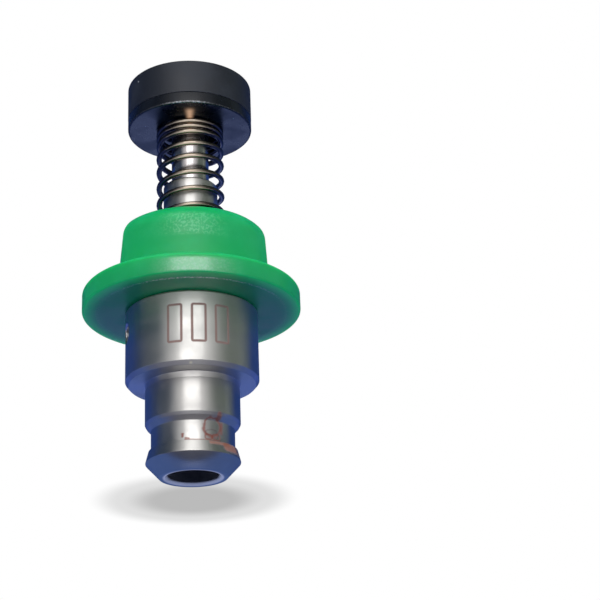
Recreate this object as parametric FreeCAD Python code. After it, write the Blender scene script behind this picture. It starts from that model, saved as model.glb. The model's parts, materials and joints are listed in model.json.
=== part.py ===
import FreeCAD, Part
import math
import os

# A pick-up nozzle for placing electronic components, standing on the end face of its shank.
# The origin is the centre of that end face, +Z runs up the axis to the pad, and lengths are millimetres.
# The cross pins lie along X.

Vector = FreeCAD.Vector

# Clearances
press_gap = 0.01
running_gap = 0.04
pin_side_gap = 0.03
pin_tip_gap = 0.05
end_gap = 0.01

# Shank, from the end face up
vacuum_port_radius = 1.84
vacuum_port_depth = 5.2
port_edge_chamfer = 0.2
end_face_radius = 2.44
taper_height = 1.04
ring_radius = 3.41
ring_cone_height = 0.84
ring_top_radius = 3.19
groove_floor_radius = 3.01
groove_width = 1.5
groove_wall_height = 0.54
shank_radius = 3.44
shank_edge_chamfer_height = 0.22
shank_edge_chamfer_width = 0.12
shank_length = 2.49
relief_depth = 0.08
neck_height = 0.46

# Drum that carries the marking
drum_radius = 4.87
drum_height = 5.6
drum_bottom_chamfer_height = 0.3
drum_bottom_chamfer_width = 0.26
drum_top_chamfer = 0.14

# Boss inside the background disc, and nose sleeve inside the spring
boss_radius = 3.2
boss_height = 2.73
sleeve_radius = 2.05
sleeve_length = 7.7
sleeve_edge_chamfer = 0.12

# Background disc, whose collar has two flats nearly across X
flange_radius = 8.06
flange_thickness = 1.53
flange_top_edge_radius = 0.25
flange_bottom_edge_radius = 0.15
collar_foot_radius = 6.22
collar_foot_half_width = 5.42
collar_height = 5.15
collar_draft_width = 0.29
collar_shoulder_radius = 1.9
collar_foot_fillet = 0.35
collar_mouth_chamfer = 0.05
collar_turn = -7.2

# Cross pins
pin_height_on_drum = 3.72
pin_radius = 0.68
pin_recess = 0.5
pin_edge_chamfer = 0.12
pin_nose_radius = 0.45
pin_step_radius = 2.3
pin_hole_chamfer = 0.12

# Plunger shaft
shaft_radius = 1.42
shaft_bore_radius = 0.7
slot_depth = 0.42
slot_end_wall = 1.55
shaft_edge_chamfer = 0.08
plunger_travel = 3.0

# Return spring
wire_diameter = 0.42
spring_mean_radius = 2.39
spring_length = 12.53
closed_turns = 2.5
closed_turn_rise = 0.43
tight_turns = 2.0
tight_turn_rise = 1.075
open_turns = 6.0
spring_front_angle = -102.4
points_per_turn = 12

# Pad holder and rubber pad
holder_radius = 4.78
holder_thickness = 0.92
holder_edge_chamfer = 0.1
holder_top_chamfer = 0.06
spigot_radius = 2.4
spigot_height = 1.35
spigot_head_radius = 2.9
spigot_head_height = 0.4
spigot_head_chamfer = 0.1
pad_radius = 4.79
pad_thickness = 2.7
pad_top_edge_radius = 0.1
pad_bottom_edge_radius = 0.06
pad_recess_radius = 4.0
pad_recess_depth = 0.8

# Heights that follow from the sizes above
ring_height = taper_height
groove_bottom = ring_height + ring_cone_height
groove_top = groove_bottom + groove_width
shank_bottom = groove_top + groove_wall_height
neck_bottom = shank_bottom + shank_length
drum_bottom = neck_bottom + neck_height
drum_top = drum_bottom + drum_height
spring_seat = drum_top + boss_height
sleeve_top = spring_seat + sleeve_length
flange_top = drum_top + flange_thickness
collar_top = flange_top + collar_height
pin_height = drum_bottom + pin_height_on_drum
holder_bottom = spring_seat + spring_length
holder_top = holder_bottom + holder_thickness
spigot_top = holder_top + spigot_height
head_top = spigot_top + spigot_head_height
pad_top = holder_top + pad_thickness
pad_recess_floor = pad_top - pad_recess_depth

# Radii and places that follow from a fit
guide_bore_radius = shaft_radius + running_gap
pin_hole_radius = pin_radius + press_gap
nose_hole_radius = pin_nose_radius + pin_side_gap
slot_half_width = pin_nose_radius + pin_side_gap
slot_floor = shaft_radius - slot_depth
slot_bottom = pin_height - slot_half_width
slot_top = pin_height + plunger_travel + slot_half_width
shaft_bottom = slot_bottom - slot_end_wall


def line(start, end):
    """A straight edge of an outline, given as (radius, height) points."""
    return Part.makeLine(Vector(start[0], 0, start[1]), Vector(end[0], 0, end[1]))


def turned(points):
    """A solid turned about Z from a closed outline of (radius, height) points."""
    edges = [line(a, b) for a, b in zip(points, points[1:] + points[:1]) if a != b]
    return Part.Face(Part.Wire(edges)).revolve(Vector(0, 0, 0), Vector(0, 0, 1), 360)


def round_edges(solid, radius, circles):
    """Round the circular edges that lie at the given (radius, height) places."""
    chosen = []
    for edge in solid.Edges:
        curve = edge.Curve
        if not isinstance(curve, Part.Circle):
            continue
        for circle_radius, height in circles:
            same_radius = abs(curve.Radius - circle_radius) < 1e-6
            if same_radius and abs(curve.Center.z - height) < 1e-6:
                chosen.append(edge)
    return solid.makeFillet(radius, chosen)


def nozzle_body():
    """The turned steel body: shank, drum, boss and nose sleeve in one piece, bored through."""
    outside = [
        (end_face_radius, 0),
        (ring_radius, ring_height),
        (ring_top_radius, groove_bottom),
        (groove_floor_radius, groove_bottom),
        (groove_floor_radius, groove_top),
        (shank_radius - shank_edge_chamfer_width, shank_bottom - shank_edge_chamfer_height),
        (shank_radius, shank_bottom),
        (shank_radius, neck_bottom),
        (shank_radius - relief_depth, neck_bottom),
        (shank_radius, drum_bottom),
        (drum_radius - drum_bottom_chamfer_width, drum_bottom),
        (drum_radius, drum_bottom + drum_bottom_chamfer_height),
        (drum_radius, drum_top - drum_top_chamfer),
        (drum_radius - drum_top_chamfer, drum_top),
        (boss_radius, drum_top),
        (boss_radius, spring_seat),
        (sleeve_radius, spring_seat),
        (sleeve_radius, sleeve_top - sleeve_edge_chamfer),
        (sleeve_radius - sleeve_edge_chamfer, sleeve_top),
    ]
    port_cone_height = vacuum_port_radius - guide_bore_radius
    inside = [
        (guide_bore_radius, sleeve_top),
        (guide_bore_radius, vacuum_port_depth + port_cone_height),
        (vacuum_port_radius, vacuum_port_depth),
        (vacuum_port_radius, port_edge_chamfer),
        (vacuum_port_radius + port_edge_chamfer, 0),
    ]
    body = turned(outside + inside)
    for side in (-1, 1):
        body = body.cut(pin_hole(side))
    return body


def pin_hole(side):
    """The stepped hole for a cross pin, with a chamfered mouth, as a tool to cut with."""
    outward = Vector(side, 0, 0)
    bore = Part.makeCylinder(
        pin_hole_radius, drum_radius, Vector(side * pin_step_radius, 0, pin_height), outward
    )
    nose = Part.makeCylinder(nose_hole_radius, drum_radius, Vector(0, 0, pin_height), outward)
    mouth = Part.makeCone(
        pin_hole_radius,
        pin_hole_radius + 2 * pin_hole_chamfer,
        2 * pin_hole_chamfer,
        Vector(side * (drum_radius - pin_hole_chamfer), 0, pin_height),
        outward,
    )
    return bore.fuse([nose, mouth])


def guide_pin(side):
    """A dog-point pin: the thick part is pressed in the drum, the nose reaches into the shaft's slot."""
    outer_end = drum_radius - pin_recess
    nose_tip = slot_floor + pin_tip_gap
    outline = [
        (0, nose_tip),
        (pin_nose_radius, nose_tip),
        (pin_nose_radius, pin_step_radius),
        (pin_radius, pin_step_radius),
        (pin_radius, outer_end - pin_edge_chamfer),
        (pin_radius - pin_edge_chamfer, outer_end),
        (0, outer_end),
    ]
    pin = turned(outline)
    pin.rotate(Vector(0, 0, 0), Vector(0, 1, 0), side * 90)
    pin.translate(Vector(0, 0, pin_height))
    return pin


def shoulder_half(foot, height, shoulder):
    """Half the collar's outline, from its foot up a drafted side and over a rounded shoulder to the axis."""
    top = foot - collar_draft_width
    slope = math.atan2(collar_draft_width, height)
    reach = shoulder * math.tan(math.pi / 4 - slope / 2)
    start = Vector(top + reach * math.sin(slope), 0, height - reach * math.cos(slope))
    end = Vector(top - reach, 0, height)
    centre = Vector(end.x, 0, height - shoulder)
    half_way = (math.pi / 2 + slope) / 2
    middle = centre + Vector(shoulder * math.cos(half_way), 0, shoulder * math.sin(half_way))
    side = Part.makeLine(Vector(foot, 0, 0), start)
    return [side, Part.Arc(start, middle, end).toShape()], end


def collar():
    """The collar as a solid plug: a drafted round with two drafted flats, rounded over at the top."""
    edges, end = shoulder_half(collar_foot_radius, collar_height, collar_shoulder_radius)
    peak = Vector(0, 0, collar_height)
    axis = [Part.makeLine(end, peak), Part.makeLine(peak, Vector(0, 0, 0))]
    base = [Part.makeLine(Vector(0, 0, 0), Vector(collar_foot_radius, 0, 0))]
    round_plug = Part.Face(Part.Wire(base + edges + axis)).revolve(Vector(0, 0, 0), Vector(0, 0, 1), 360)

    edges, end = shoulder_half(collar_foot_half_width, collar_height, collar_shoulder_radius)
    mirrored = [edge.mirror(Vector(0, 0, 0), Vector(1, 0, 0)) for edge in edges]
    left_foot = Vector(-collar_foot_half_width, 0, 0)
    left_end = Vector(-end.x, 0, end.z)
    base = [Part.makeLine(left_foot, Vector(collar_foot_half_width, 0, 0))]
    top = [Part.makeLine(end, left_end)]
    section = Part.Face(Part.Wire(Part.sortEdges(base + edges + top + mirrored)[0]))
    section.translate(Vector(0, -collar_foot_radius - 1, 0))
    plug = round_plug.common(section.extrude(Vector(0, 2 * collar_foot_radius + 2, 0)))
    plug.rotate(Vector(0, 0, 0), Vector(0, 0, 1), collar_turn)
    plug.translate(Vector(0, 0, flange_top))
    return plug


def background_disc():
    """The moulded disc: a thin flange with rounded edges, and a collar bored to clear the spring."""
    bore_radius = boss_radius + press_gap
    flange = Part.makeCylinder(flange_radius, flange_thickness, Vector(0, 0, drum_top))
    flange = round_edges(flange, flange_top_edge_radius, [(flange_radius, flange_top)])
    flange = round_edges(flange, flange_bottom_edge_radius, [(flange_radius, drum_top)])
    disc = flange.fuse(collar()).removeSplitter()
    foot_reach = collar_foot_radius + collar_foot_fillet
    foot = []
    for edge in disc.Edges:
        box = edge.BoundBox
        if abs(edge.CenterOfMass.z - flange_top) < 1e-4 and box.ZLength < 1e-4 and box.YMax < foot_reach:
            foot.append(edge)
    disc = disc.makeFillet(collar_foot_fillet, foot)
    bore = Part.makeCylinder(bore_radius, collar_top - drum_top, Vector(0, 0, drum_top))
    mouth = Part.makeCone(
        bore_radius, bore_radius + collar_mouth_chamfer, collar_mouth_chamfer,
        Vector(0, 0, collar_top - collar_mouth_chamfer),
    )
    return disc.cut(bore.fuse(mouth))


def plunger_shaft():
    """The hollow shaft, with a round-ended slot on each side for the pin noses."""
    outline = [
        (shaft_bore_radius, shaft_bottom),
        (shaft_radius - shaft_edge_chamfer, shaft_bottom),
        (shaft_radius, shaft_bottom + shaft_edge_chamfer),
        (shaft_radius, head_top - shaft_edge_chamfer),
        (shaft_radius - shaft_edge_chamfer, head_top),
        (shaft_bore_radius, head_top),
    ]
    shaft = turned(outline)
    for side in (-1, 1):
        shaft = shaft.cut(pin_slot(side))
    return shaft


def pin_slot(side):
    """The milled slot in one side of the shaft, as a tool to cut with."""
    outward = Vector(side, 0, 0)
    depth = slot_depth + running_gap
    bottom_centre = slot_bottom + slot_half_width
    top_centre = slot_top - slot_half_width
    ends = [
        Part.makeCylinder(slot_half_width, depth, Vector(side * slot_floor, 0, height), outward)
        for height in (bottom_centre, top_centre)
    ]
    corner = Vector(min(side * slot_floor, side * (slot_floor + depth)), -slot_half_width, bottom_centre)
    middle = Part.makeBox(depth, 2 * slot_half_width, top_centre - bottom_centre, corner)
    return middle.fuse(ends)


def coil_height(turns):
    """Height of the wire's centre, a number of turns down from the top closed turn."""
    top = holder_bottom - end_gap - wire_diameter / 2
    bottom = spring_seat + end_gap + wire_diameter / 2
    level_turns = closed_turns - 0.5
    closed_rise = level_turns * closed_turn_rise
    open_rise = (top - bottom - 2 * closed_rise - tight_turns * tight_turn_rise) / open_turns
    stretches = [
        (level_turns, closed_turn_rise),
        (tight_turns, tight_turn_rise),
        (open_turns, open_rise),
    ]
    height = top
    left = turns
    for count, rise in stretches:
        part = min(left, count)
        height -= part * rise
        left -= part
        if left <= 0:
            return height
    return height - left * closed_turn_rise


def smooth_coil_height(turns):
    """The same height averaged over half a turn, because wire bends gently from one pitch to the next."""
    window = [-0.25, -0.125, 0, 0.125, 0.25]
    return sum(coil_height(turns + shift) for shift in window) / len(window)


def return_spring():
    """A right-handed spring of round wire, swept along a smooth curve, with its ends ground flat."""
    first_angle = math.radians(spring_front_angle)
    all_turns = 2 * closed_turns + tight_turns + open_turns
    points = []
    for step in range(int(all_turns * points_per_turn) + 1):
        turns = step / points_per_turn - 0.5
        angle = first_angle - 2 * math.pi * turns
        points.append(
            Vector(
                spring_mean_radius * math.cos(angle),
                spring_mean_radius * math.sin(angle),
                smooth_coil_height(turns),
            )
        )
    curve = Part.BSplineCurve()
    curve.interpolate(points)
    direction = curve.tangent(curve.FirstParameter)[0]
    section = Part.Wire([Part.makeCircle(wire_diameter / 2, points[0], direction)])
    coil = Part.Wire([curve.toShape()]).makePipeShell([section], True, True)
    between_ends = Part.makeCylinder(
        2 * spring_mean_radius, spring_length - 2 * end_gap, Vector(0, 0, spring_seat + end_gap)
    )
    return coil.common(between_ends).Solids[0]


def pad_holder():
    """The thin black disc with a headed spigot that holds the rubber, bored for the shaft."""
    bore_radius = shaft_radius + press_gap
    outline = [
        (bore_radius, holder_bottom),
        (holder_radius - holder_edge_chamfer, holder_bottom),
        (holder_radius, holder_bottom + holder_edge_chamfer),
        (holder_radius, holder_top - holder_top_chamfer),
        (holder_radius - holder_top_chamfer, holder_top),
        (spigot_radius, holder_top),
        (spigot_radius, spigot_top),
        (spigot_head_radius, spigot_top),
        (spigot_head_radius, head_top - spigot_head_chamfer),
        (spigot_head_radius - spigot_head_chamfer, head_top),
        (bore_radius, head_top),
    ]
    return turned(outline)


def rubber_pad():
    """The rubber disc: a sealing lip round a shallow recess, stretched over the spigot's head."""
    outline = [
        (spigot_radius + press_gap, holder_top),
        (pad_radius, holder_top),
        (pad_radius, pad_top),
        (pad_recess_radius, pad_top),
        (pad_recess_radius, pad_recess_floor),
        (spigot_head_radius + press_gap, pad_recess_floor),
        (spigot_head_radius + press_gap, spigot_top),
        (spigot_radius + press_gap, spigot_top),
    ]
    pad = turned(outline)
    pad = round_edges(pad, pad_top_edge_radius, [(pad_radius, pad_top), (pad_recess_radius, pad_top)])
    return round_edges(pad, pad_bottom_edge_radius, [(pad_radius, holder_top)])


pieces = {
    "nozzle_body": nozzle_body(),
    "background_disc": background_disc(),
    "guide_pin_left": guide_pin(-1),
    "guide_pin_right": guide_pin(1),
    "return_spring": return_spring(),
    "plunger_shaft": plunger_shaft(),
    "pad_holder": pad_holder(),
    "rubber_pad": rubber_pad(),
}

os.makedirs("parts", exist_ok=True)
for name, shape in pieces.items():
    shape.exportStep(f"parts/{name}.step")
    box = shape.BoundBox
    print(f"{name}: {len(shape.Solids)} solid, valid {shape.isValid()}, {shape.Volume:.2f} mm3,"
          f" z {box.ZMin:.2f} to {box.ZMax:.2f}, radius {box.XMax:.2f}")
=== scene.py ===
# %% [markdown]
# A pick-up nozzle from a machine that places electronic components, seen close up. The packed
# solids are the frame. The first cell loads them, so that every piece made here can be held to
# the same places and sizes.

# %% Load the frame
import json
import math

import bpy
from mathutils import Matrix, Vector

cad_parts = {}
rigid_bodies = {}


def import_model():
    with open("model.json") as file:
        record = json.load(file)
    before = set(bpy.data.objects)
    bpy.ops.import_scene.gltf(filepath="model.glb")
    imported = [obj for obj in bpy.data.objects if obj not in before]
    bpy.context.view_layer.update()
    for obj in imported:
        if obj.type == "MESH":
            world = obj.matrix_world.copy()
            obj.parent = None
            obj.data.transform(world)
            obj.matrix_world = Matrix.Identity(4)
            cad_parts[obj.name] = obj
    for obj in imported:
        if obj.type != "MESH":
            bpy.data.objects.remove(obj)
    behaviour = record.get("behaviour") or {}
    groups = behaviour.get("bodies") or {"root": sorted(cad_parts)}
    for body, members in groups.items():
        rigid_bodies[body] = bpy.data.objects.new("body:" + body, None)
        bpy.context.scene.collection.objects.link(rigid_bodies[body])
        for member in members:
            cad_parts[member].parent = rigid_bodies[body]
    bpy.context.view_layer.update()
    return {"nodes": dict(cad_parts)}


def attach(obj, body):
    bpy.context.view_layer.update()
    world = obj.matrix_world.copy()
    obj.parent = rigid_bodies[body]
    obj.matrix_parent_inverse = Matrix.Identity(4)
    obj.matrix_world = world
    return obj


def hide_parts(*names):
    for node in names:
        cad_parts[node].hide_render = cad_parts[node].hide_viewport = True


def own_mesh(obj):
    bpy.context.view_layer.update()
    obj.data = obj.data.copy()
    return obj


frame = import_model()
MM = 0.001
print("nodes:", sorted(frame["nodes"]))

# %% [markdown]
# The photograph looks up at the nozzle from below its shank. The camera's distance and aim were
# worked out from the ellipses of the round edges. The nozzle stands left of the picture's middle
# because the camera is aimed past it, so the lens needs no shift.

# %% Camera
CAMERA_AZIMUTH = math.radians(-12.4)
CAMERA_DISTANCE = 103.18 * MM
CAMERA_HEIGHT = -29.10 * MM
AIM_YAW = math.radians(4.47)
AIM_PITCH = math.radians(22.40)
CAMERA_ROLL = math.radians(-2.3)
LENS = 90.0
SENSOR = 36.0


def camera_axes():
    """The camera's right, up and back directions."""
    heading = AIM_YAW - CAMERA_AZIMUTH
    ahead = Vector((
        math.sin(heading) * math.cos(AIM_PITCH),
        math.cos(heading) * math.cos(AIM_PITCH),
        math.sin(AIM_PITCH),
    ))
    level_right = Vector((math.cos(heading), -math.sin(heading), 0))
    level_up = level_right.cross(ahead)
    right = level_right * math.cos(CAMERA_ROLL) + level_up * math.sin(CAMERA_ROLL)
    up = level_up * math.cos(CAMERA_ROLL) - level_right * math.sin(CAMERA_ROLL)
    return right, up, -ahead


def add_camera():
    data = bpy.data.cameras.new("camera")
    data.lens = LENS
    data.sensor_width = SENSOR
    data.clip_start = 5 * MM
    data.clip_end = 5.0
    camera = bpy.data.objects.new("camera", data)
    bpy.context.scene.collection.objects.link(camera)
    right, up, back = camera_axes()
    turn = Matrix((right, up, back)).transposed().to_4x4()
    place = Vector((
        math.sin(CAMERA_AZIMUTH) * CAMERA_DISTANCE,
        -math.cos(CAMERA_AZIMUTH) * CAMERA_DISTANCE,
        CAMERA_HEIGHT,
    ))
    camera.matrix_world = Matrix.Translation(place) @ turn
    bpy.context.scene.camera = camera
    return camera


camera = add_camera()
bpy.context.scene.view_settings.view_transform = "Standard"
print("camera at", [round(v / MM, 2) for v in camera.matrix_world.translation], "mm")

# %% [markdown]
# Nearly every piece of a nozzle is turned on a lathe. Blender's Spin tool or the Screw modifier
# could turn an outline too. A few lines of code are used instead, because they also round each
# corner of the outline first. Real edges are never quite sharp, and it is the narrow rounding
# that catches the light. Outlines are lists of (radius, height, edge radius) in millimetres.

# %% Rounding an outline
ARC_STEPS = 3
SUPPORT = 0.03
SHARE_OF_SIDE = 0.45
NEARLY_STRAIGHT = math.radians(89.5)


def rounded(corners):
    """Points round a closed outline, with an arc and a supporting point either side of each corner."""
    points = []
    for i, (radius, height, edge_radius) in enumerate(corners):
        here = Vector((radius, height))
        before = Vector(corners[i - 1][:2]) - here
        after = Vector(corners[(i + 1) % len(corners)][:2]) - here
        room = SHARE_OF_SIDE * min(before.length, after.length)
        before.normalize()
        after.normalize()
        half = before.angle(after) / 2
        if half > NEARLY_STRAIGHT:
            points.append(here)
            continue
        reach = min(edge_radius / math.tan(half), room)
        arc_radius = reach * math.tan(half)
        centre = here + (before + after).normalized() * (arc_radius / math.sin(half))
        start = here + before * reach
        end = here + after * reach
        sweep = math.pi - 2 * half
        if reach + SUPPORT < room:
            points.append(start + before * SUPPORT)
        for step in range(ARC_STEPS + 1):
            part = sweep * step / ARC_STEPS
            arm = (start - centre) * math.sin(sweep - part) + (end - centre) * math.sin(part)
            points.append(centre + arm / math.sin(sweep))
        if reach + SUPPORT < room:
            points.append(end + after * SUPPORT)
    return [(point.x, point.y) for point in points]


# %% Turning it into a piece
SEGMENTS = 160


def add_piece(name, points, faces, body="body"):
    """A smooth mesh from points in millimetres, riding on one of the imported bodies."""
    mesh = bpy.data.meshes.new(name)
    mesh.from_pydata([Vector(point) * MM for point in points], [], faces)
    mesh.shade_smooth()
    piece = bpy.data.objects.new(name, mesh)
    bpy.context.scene.collection.objects.link(piece)
    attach(piece, body)
    print(name, len(faces), "faces")
    return piece


def on_circle(radius, height, angle):
    return (radius * math.cos(angle), radius * math.sin(angle), height)


def ring_faces(rings, columns):
    """Faces between rings of points, each ring joined to the next one and the last to the first."""
    faces = []
    for i in range(rings):
        low = i * columns
        high = (i + 1) % rings * columns
        for j in range(columns):
            beside = (j + 1) % columns
            faces.append((low + j, low + beside, high + beside, high + j))
    return faces


def turned(outline, segments=SEGMENTS):
    """Points and faces of a closed outline turned about the axis."""
    directions = [2 * math.pi * j / segments for j in range(segments)]
    points = [on_circle(radius, height, angle) for radius, height in outline for angle in directions]
    return points, ring_faces(len(outline), segments)


# %% [markdown]
# The steel body is one turned piece: shank, drum, boss and nose sleeve, bored right through. Its
# only features that a lathe can't make are the two holes for the cross pins. Cutting them with a
# boolean would leave long thin faces that spoil a mirror-like surface. So the turned grid leaves a
# window open around each hole, and rings of faces shrink from the window's frame to the hole's
# round mouth, go in through the wall, and widen again to a window in the bore.

# %% Body outline
RING_RADIUS = 3.41
RING_BOTTOM = 1.04
GROOVE_RADIUS = 3.01
GROOVE_BOTTOM = 1.88
GROOVE_TOP = 3.38
SHANK_RADIUS = 3.44
SHANK_BOTTOM = 3.92
SHANK_TOP = 6.41
DRUM_RADIUS = 4.87
DRUM_BOTTOM = 6.87
DRUM_TOP = 12.47
BOSS_RADIUS = 3.2
SPRING_SEAT = 15.2
SLEEVE_RADIUS = 2.05
SLEEVE_TOP = 22.9
GUIDE_BORE_RADIUS = 1.46
PORT_RADIUS = 1.84
PORT_TOP = 5.2
PIN_HEIGHT = 10.59
WINDOW_ROWS = 10
DRUM_WINDOW_HALF = 1.25
BORE_WINDOW_HALF = 0.75


def window_rows(radius, half_height, middle=PIN_HEIGHT, rows=WINDOW_ROWS):
    """The window's rows, from the lowest up."""
    step = 2 * half_height / rows
    return [(radius, middle - half_height + step * row, 0) for row in range(rows + 1)]


body_outline = rounded([
    # Lead-in taper, retaining ring and groove
    (2.44, 0, 0.05), (RING_RADIUS, RING_BOTTOM, 0.06), (3.19, GROOVE_BOTTOM, 0.04),
    (GROOVE_RADIUS, GROOVE_BOTTOM, 0.03), (GROOVE_RADIUS, GROOVE_TOP, 0.08), (3.32, 3.7, 0.03),
    # Shank, neck and drum
    (SHANK_RADIUS, SHANK_BOTTOM, 0.04), (SHANK_RADIUS, SHANK_TOP, 0.03), (3.36, SHANK_TOP, 0.02),
    (SHANK_RADIUS, DRUM_BOTTOM, 0.03), (4.61, DRUM_BOTTOM, 0.04), (DRUM_RADIUS, 7.17, 0.05),
    *window_rows(DRUM_RADIUS, DRUM_WINDOW_HALF),
    (DRUM_RADIUS, 12.33, 0.05), (4.73, DRUM_TOP, 0.03),
    # Boss and nose sleeve
    (BOSS_RADIUS, DRUM_TOP, 0.03), (BOSS_RADIUS, SPRING_SEAT, 0.06), (SLEEVE_RADIUS, SPRING_SEAT, 0.05),
    (SLEEVE_RADIUS, 22.78, 0.05), (1.93, SLEEVE_TOP, 0.04), (GUIDE_BORE_RADIUS, SLEEVE_TOP, 0.03),
    # Guide bore and vacuum port
    *reversed(window_rows(GUIDE_BORE_RADIUS, BORE_WINDOW_HALF)),
    (GUIDE_BORE_RADIUS, 5.58, 0.03), (PORT_RADIUS, PORT_TOP, 0.03), (PORT_RADIUS, 0.2, 0.03), (2.04, 0, 0.04),
])
print("body outline:", len(body_outline), "points")

# %% Windows in the turned grid
WINDOW_COLUMNS = 12
SAME = 1e-6


def window_indices(outline, radius, half_height, middle=PIN_HEIGHT):
    """Where the window's rows are in the outline, from the lowest up."""
    found = [
        i for i, (r, z) in enumerate(outline)
        if abs(r - radius) < SAME and abs(z - middle) < half_height + SAME
    ]
    return sorted(found, key=lambda i: outline[i][1])


def window_frame(wide=WINDOW_COLUMNS, high=WINDOW_ROWS):
    """(row, column) steps once round the window, anticlockwise from its lower left corner."""
    return (
        [(0, column) for column in range(-wide, wide)]
        + [(row, wide) for row in range(high)]
        + [(high, column) for column in range(wide, -wide, -1)]
        + [(row, -wide) for row in range(high, 0, -1)]
    )


def without_windows(faces, windows, middles, segments):
    """The turned faces, less those inside the windows on both sides."""
    inside = set()
    for rows in windows:
        for low_row, high_row in zip(rows, rows[1:]):
            for middle in middles:
                for column in range(-WINDOW_COLUMNS, WINDOW_COLUMNS):
                    inside.add(min(low_row, high_row) * segments + (middle + column) % segments)
    return [face for number, face in enumerate(faces) if number not in inside]


def lead_in(points, faces, loop, rings, side, height=0, end=()):
    """Joins a window's frame to rings of (along X, across, up), one after another. Returns the last."""
    loops = [loop]
    for ring in rings:
        loops.append(list(range(len(points), len(points) + len(loop))))
        points += [(along * side, across * side, height + up) for along, across, up in ring]
    loops += end
    for outer, inner in zip(loops, loops[1:]):
        for m in range(len(loop)):
            n = (m + 1) % len(loop)
            faces.append((outer[m], outer[n], inner[n], inner[m]))
    return loops[-1]


def tidy_points(points, faces):
    """The same mesh without the points that no face uses."""
    used = sorted({index for face in faces for index in face})
    place = {index: number for number, index in enumerate(used)}
    return [points[index] for index in used], [tuple(place[index] for index in face) for face in faces]


# %% [markdown]
# Each pin hole has a chamfered mouth, a wide part that the pin is pressed into, and a narrow part
# that only the pin's nose passes. The chamfer's edge lies on the drum's round skin, so how deep it
# lies depends on its radius, and its radius on how deep it lies. A few rounds settle both.

# %% Rings through the wall
HOLE_RADIUS = 0.69
HOLE_CHAMFER = 0.12
NOSE_HOLE_RADIUS = 0.48
HOLE_STEP = 2.3
EDGE = 0.02
MOUTH_ROUNDS = 8


def tunnel_rings(directions):
    """Rings of (along X, across, up) from the drum's skin to the bore, for the hole on the +X side."""
    def ring(radius, along):
        return [(along, radius * math.cos(t), radius * math.sin(t)) for t in directions]

    def skin(skin_radius, hole_radius, t):
        return math.sqrt(skin_radius ** 2 - (hole_radius * math.cos(t)) ** 2)

    def on_skin(skin_radius, hole_radius):
        return [
            (skin(skin_radius, hole_radius, t), hole_radius * math.cos(t), hole_radius * math.sin(t))
            for t in directions
        ]

    chamfer_foot = DRUM_RADIUS - HOLE_CHAMFER
    mouth = []
    inside_mouth = []
    for t in directions:
        radius = HOLE_RADIUS + HOLE_CHAMFER
        for _ in range(MOUTH_ROUNDS):
            along = skin(DRUM_RADIUS, radius, t)
            radius = HOLE_RADIUS + along - chamfer_foot
        across, up = radius * math.cos(t), radius * math.sin(t)
        shrink = 1 - EDGE / math.hypot(across, up)
        mouth.append((along, across, up))
        inside_mouth.append((along - EDGE, across * shrink, up * shrink))
    return [
        on_skin(DRUM_RADIUS, HOLE_RADIUS + HOLE_CHAMFER + 2 * EDGE), mouth, inside_mouth,
        ring(HOLE_RADIUS + EDGE, chamfer_foot + EDGE), ring(HOLE_RADIUS, chamfer_foot),
        ring(HOLE_RADIUS, chamfer_foot - SUPPORT), ring(HOLE_RADIUS, HOLE_STEP),
        ring(NOSE_HOLE_RADIUS, HOLE_STEP), on_skin(GUIDE_BORE_RADIUS, NOSE_HOLE_RADIUS),
    ]


# %% Body with its pin holes
MOUTH_SHARES = (0.3, 0.6, 0.85)
BORE_SHARES = (0.6, 0.3)


def shrinking(corners, circle, radius, shares):
    """Rings on a round wall, part of the way from a window's frame to the hole's circle."""
    rings = []
    for share in shares:
        ring = []
        for (frame_across, frame_up), (_, across, up) in zip(corners, circle):
            y = frame_across * (1 - share) + across * share
            z = frame_up * (1 - share) + up * share
            ring.append((math.sqrt(radius ** 2 - y ** 2), y, z))
        rings.append(ring)
    return rings


def body_mesh(outline, segments=SEGMENTS):
    points, faces = turned(outline, segments)
    windows = [
        window_indices(outline, DRUM_RADIUS, DRUM_WINDOW_HALF),
        window_indices(outline, GUIDE_BORE_RADIUS, BORE_WINDOW_HALF),
    ]
    middles = (0, segments // 2)
    faces = without_windows(faces, windows, middles, segments)
    steps = window_frame()
    count = len(steps)
    first = -math.pi / 2 - math.pi * 2 * WINDOW_COLUMNS / count
    tunnel = tunnel_rings([first + 2 * math.pi * m / count for m in range(count)])
    for middle, side in zip(middles, (1, -1)):
        frames = [
            [rows[row] * segments + (middle + column) % segments for row, column in steps]
            for rows in windows
        ]
        outside, inside = (
            [(points[corner][1] * side, points[corner][2] - PIN_HEIGHT) for corner in loop]
            for loop in frames
        )
        chain = (
            shrinking(outside, tunnel[0], DRUM_RADIUS, MOUTH_SHARES) + tunnel
            + shrinking(inside, tunnel[-1], GUIDE_BORE_RADIUS, BORE_SHARES)
        )
        lead_in(points, faces, frames[0], chain, side, PIN_HEIGHT, [frames[1]])
    return tidy_points(points, faces)


steel_body = add_piece("steel_body", *body_mesh(body_outline))
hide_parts("nozzle_body")

# %% [markdown]
# The plunger's shaft is a hollow rod with a round-ended slot on each side, where the cross pins'
# noses run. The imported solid's facets would show in its mirror-like wall, so it is turned again
# here with a finer grid. Each slot is made as the pin holes are, with rings of faces that lead from
# a window in the wall to the slot's rim, down to its floor, and together along its middle.

# %% Shaft with its slots
SHAFT_RADIUS = 1.42
SHAFT_BORE_RADIUS = 0.7
SHAFT_BOTTOM = 8.56
SHAFT_TOP = 30.4
SHAFT_CHAMFER = 0.08
PLUNGER_TRAVEL = 3.0
SLOT_HALF_WIDTH = 0.48
SLOT_FLOOR = 1.0
SLOT_MIDDLE_SHARE = 0.4
SLOT_LOW_CENTRE = PIN_HEIGHT
SLOT_HIGH_CENTRE = PIN_HEIGHT + PLUNGER_TRAVEL
SLOT_WINDOW_HALF = 2.3
SLOT_WINDOW_ROWS = 26
slot_middle = (SLOT_LOW_CENTRE + SLOT_HIGH_CENTRE) / 2

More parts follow.
